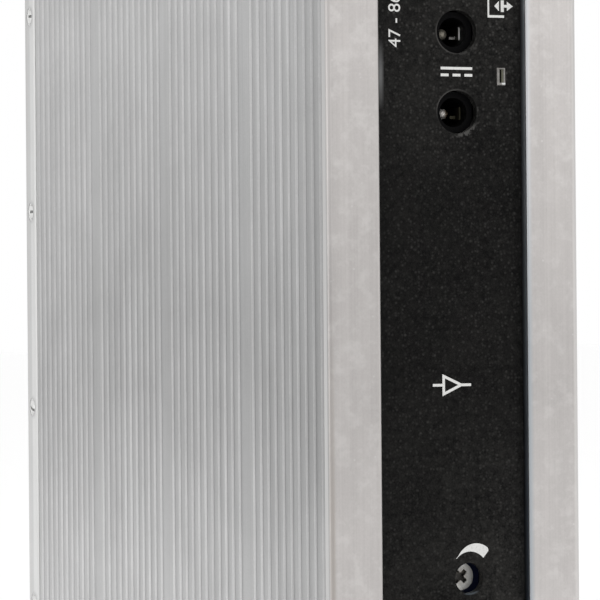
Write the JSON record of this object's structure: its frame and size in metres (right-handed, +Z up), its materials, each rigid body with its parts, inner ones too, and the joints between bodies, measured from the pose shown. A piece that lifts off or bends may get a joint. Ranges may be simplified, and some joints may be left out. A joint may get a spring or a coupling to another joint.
{
  "type": "tv signal amplifier",
  "caption": "Upright TV signal amplifier module: ribbed extruded aluminium sides, recessed black front panel with DC power sockets, status light, level trimmer and coaxial connectors.",
  "frame": {"origin": "centre of the underside of the bottom end plate, below the middle of the housing", "axes": "+Z up, the front panel faces -Y, the ribbed side at the left of a viewer in front faces -X"},
  "size_m": [0.0608, 0.2509, 0.217],
  "materials": {
    "extruded_aluminium": "mill-finish extrusion, fine lengthwise draw lines",
    "sheet_aluminium": "plain rolled sheet",
    "panel_black": "fine-textured black paint on sheet",
    "zinc_steel": "bright zinc plate",
    "tinned_steel": "dull tin plate",
    "nickel_plate": "nickel plate",
    "contact_brass": "bare brass",
    "black_plastic": "moulded, fine matt",
    "cream_plastic": "moulded, satin",
    "blue_plastic": "moulded, dark blue",
    "white_plastic": "moulded, smooth",
    "led_lens": "milky clear resin",
    "board_laminate": "green solder mask",
    "ferrite": "sintered, matt",
    "capacitor_sleeve": "shrunk sleeve",
    "thermal_pad": "soft pad",
    "ceramic_track": "fired substrate"
  },
  "bodies": {
    "housing": {"left_side_profile": "extruded_aluminium", "right_side_profile": "extruded_aluminium", "front_panel": "panel_black", "rear_cover": "sheet_aluminium", "rear_cover_screws": "zinc_steel", "rear_inserts": "zinc_steel", "top_end_plate": "sheet_aluminium", "bottom_end_plate": "sheet_aluminium", "end_plate_screws": "zinc_steel", "main_board": "board_laminate", "board_standoffs": "zinc_steel", "board_screws": "zinc_steel", "input_module": "black_plastic", "output_module": "black_plastic", "module_leads": "tinned_steel", "module_thermal_pads": "thermal_pad", "module_screws": "zinc_steel", "shield_frame": "tinned_steel", "shield_lid": "tinned_steel", "rf_transformers": "ferrite", "filter_capacitors": "capacitor_sleeve", "power_inductors": "ferrite", "converter_chip": "black_plastic", "dc_socket_upper": "black_plastic", "dc_socket_lower": "black_plastic", "dc_centre_pins": "nickel_plate", "dc_spring_contacts": "nickel_plate", "status_led": "led_lens", "led_spacer": "black_plastic", "led_leads": "tinned_steel", "trimmer_housing": "blue_plastic", "trimmer_track": "ceramic_track", "f_connector_input": "nickel_plate", "f_connector_output": "nickel_plate", "f_insulators": "white_plastic", "f_contacts": "contact_brass", "f_nuts": "nickel_plate", "f_washers": "nickel_plate"},
    "level_rotor": {"trimmer_rotor": "cream_plastic"}
  },
  "joints": [
    {"name": "level_turn", "type": "hinge", "parent": "housing", "child": "level_rotor", "pos_m": [0.0042, -0.112, 0.0486], "axis": [0, 1, 0], "range_deg": [-135, 135]}
  ]
}
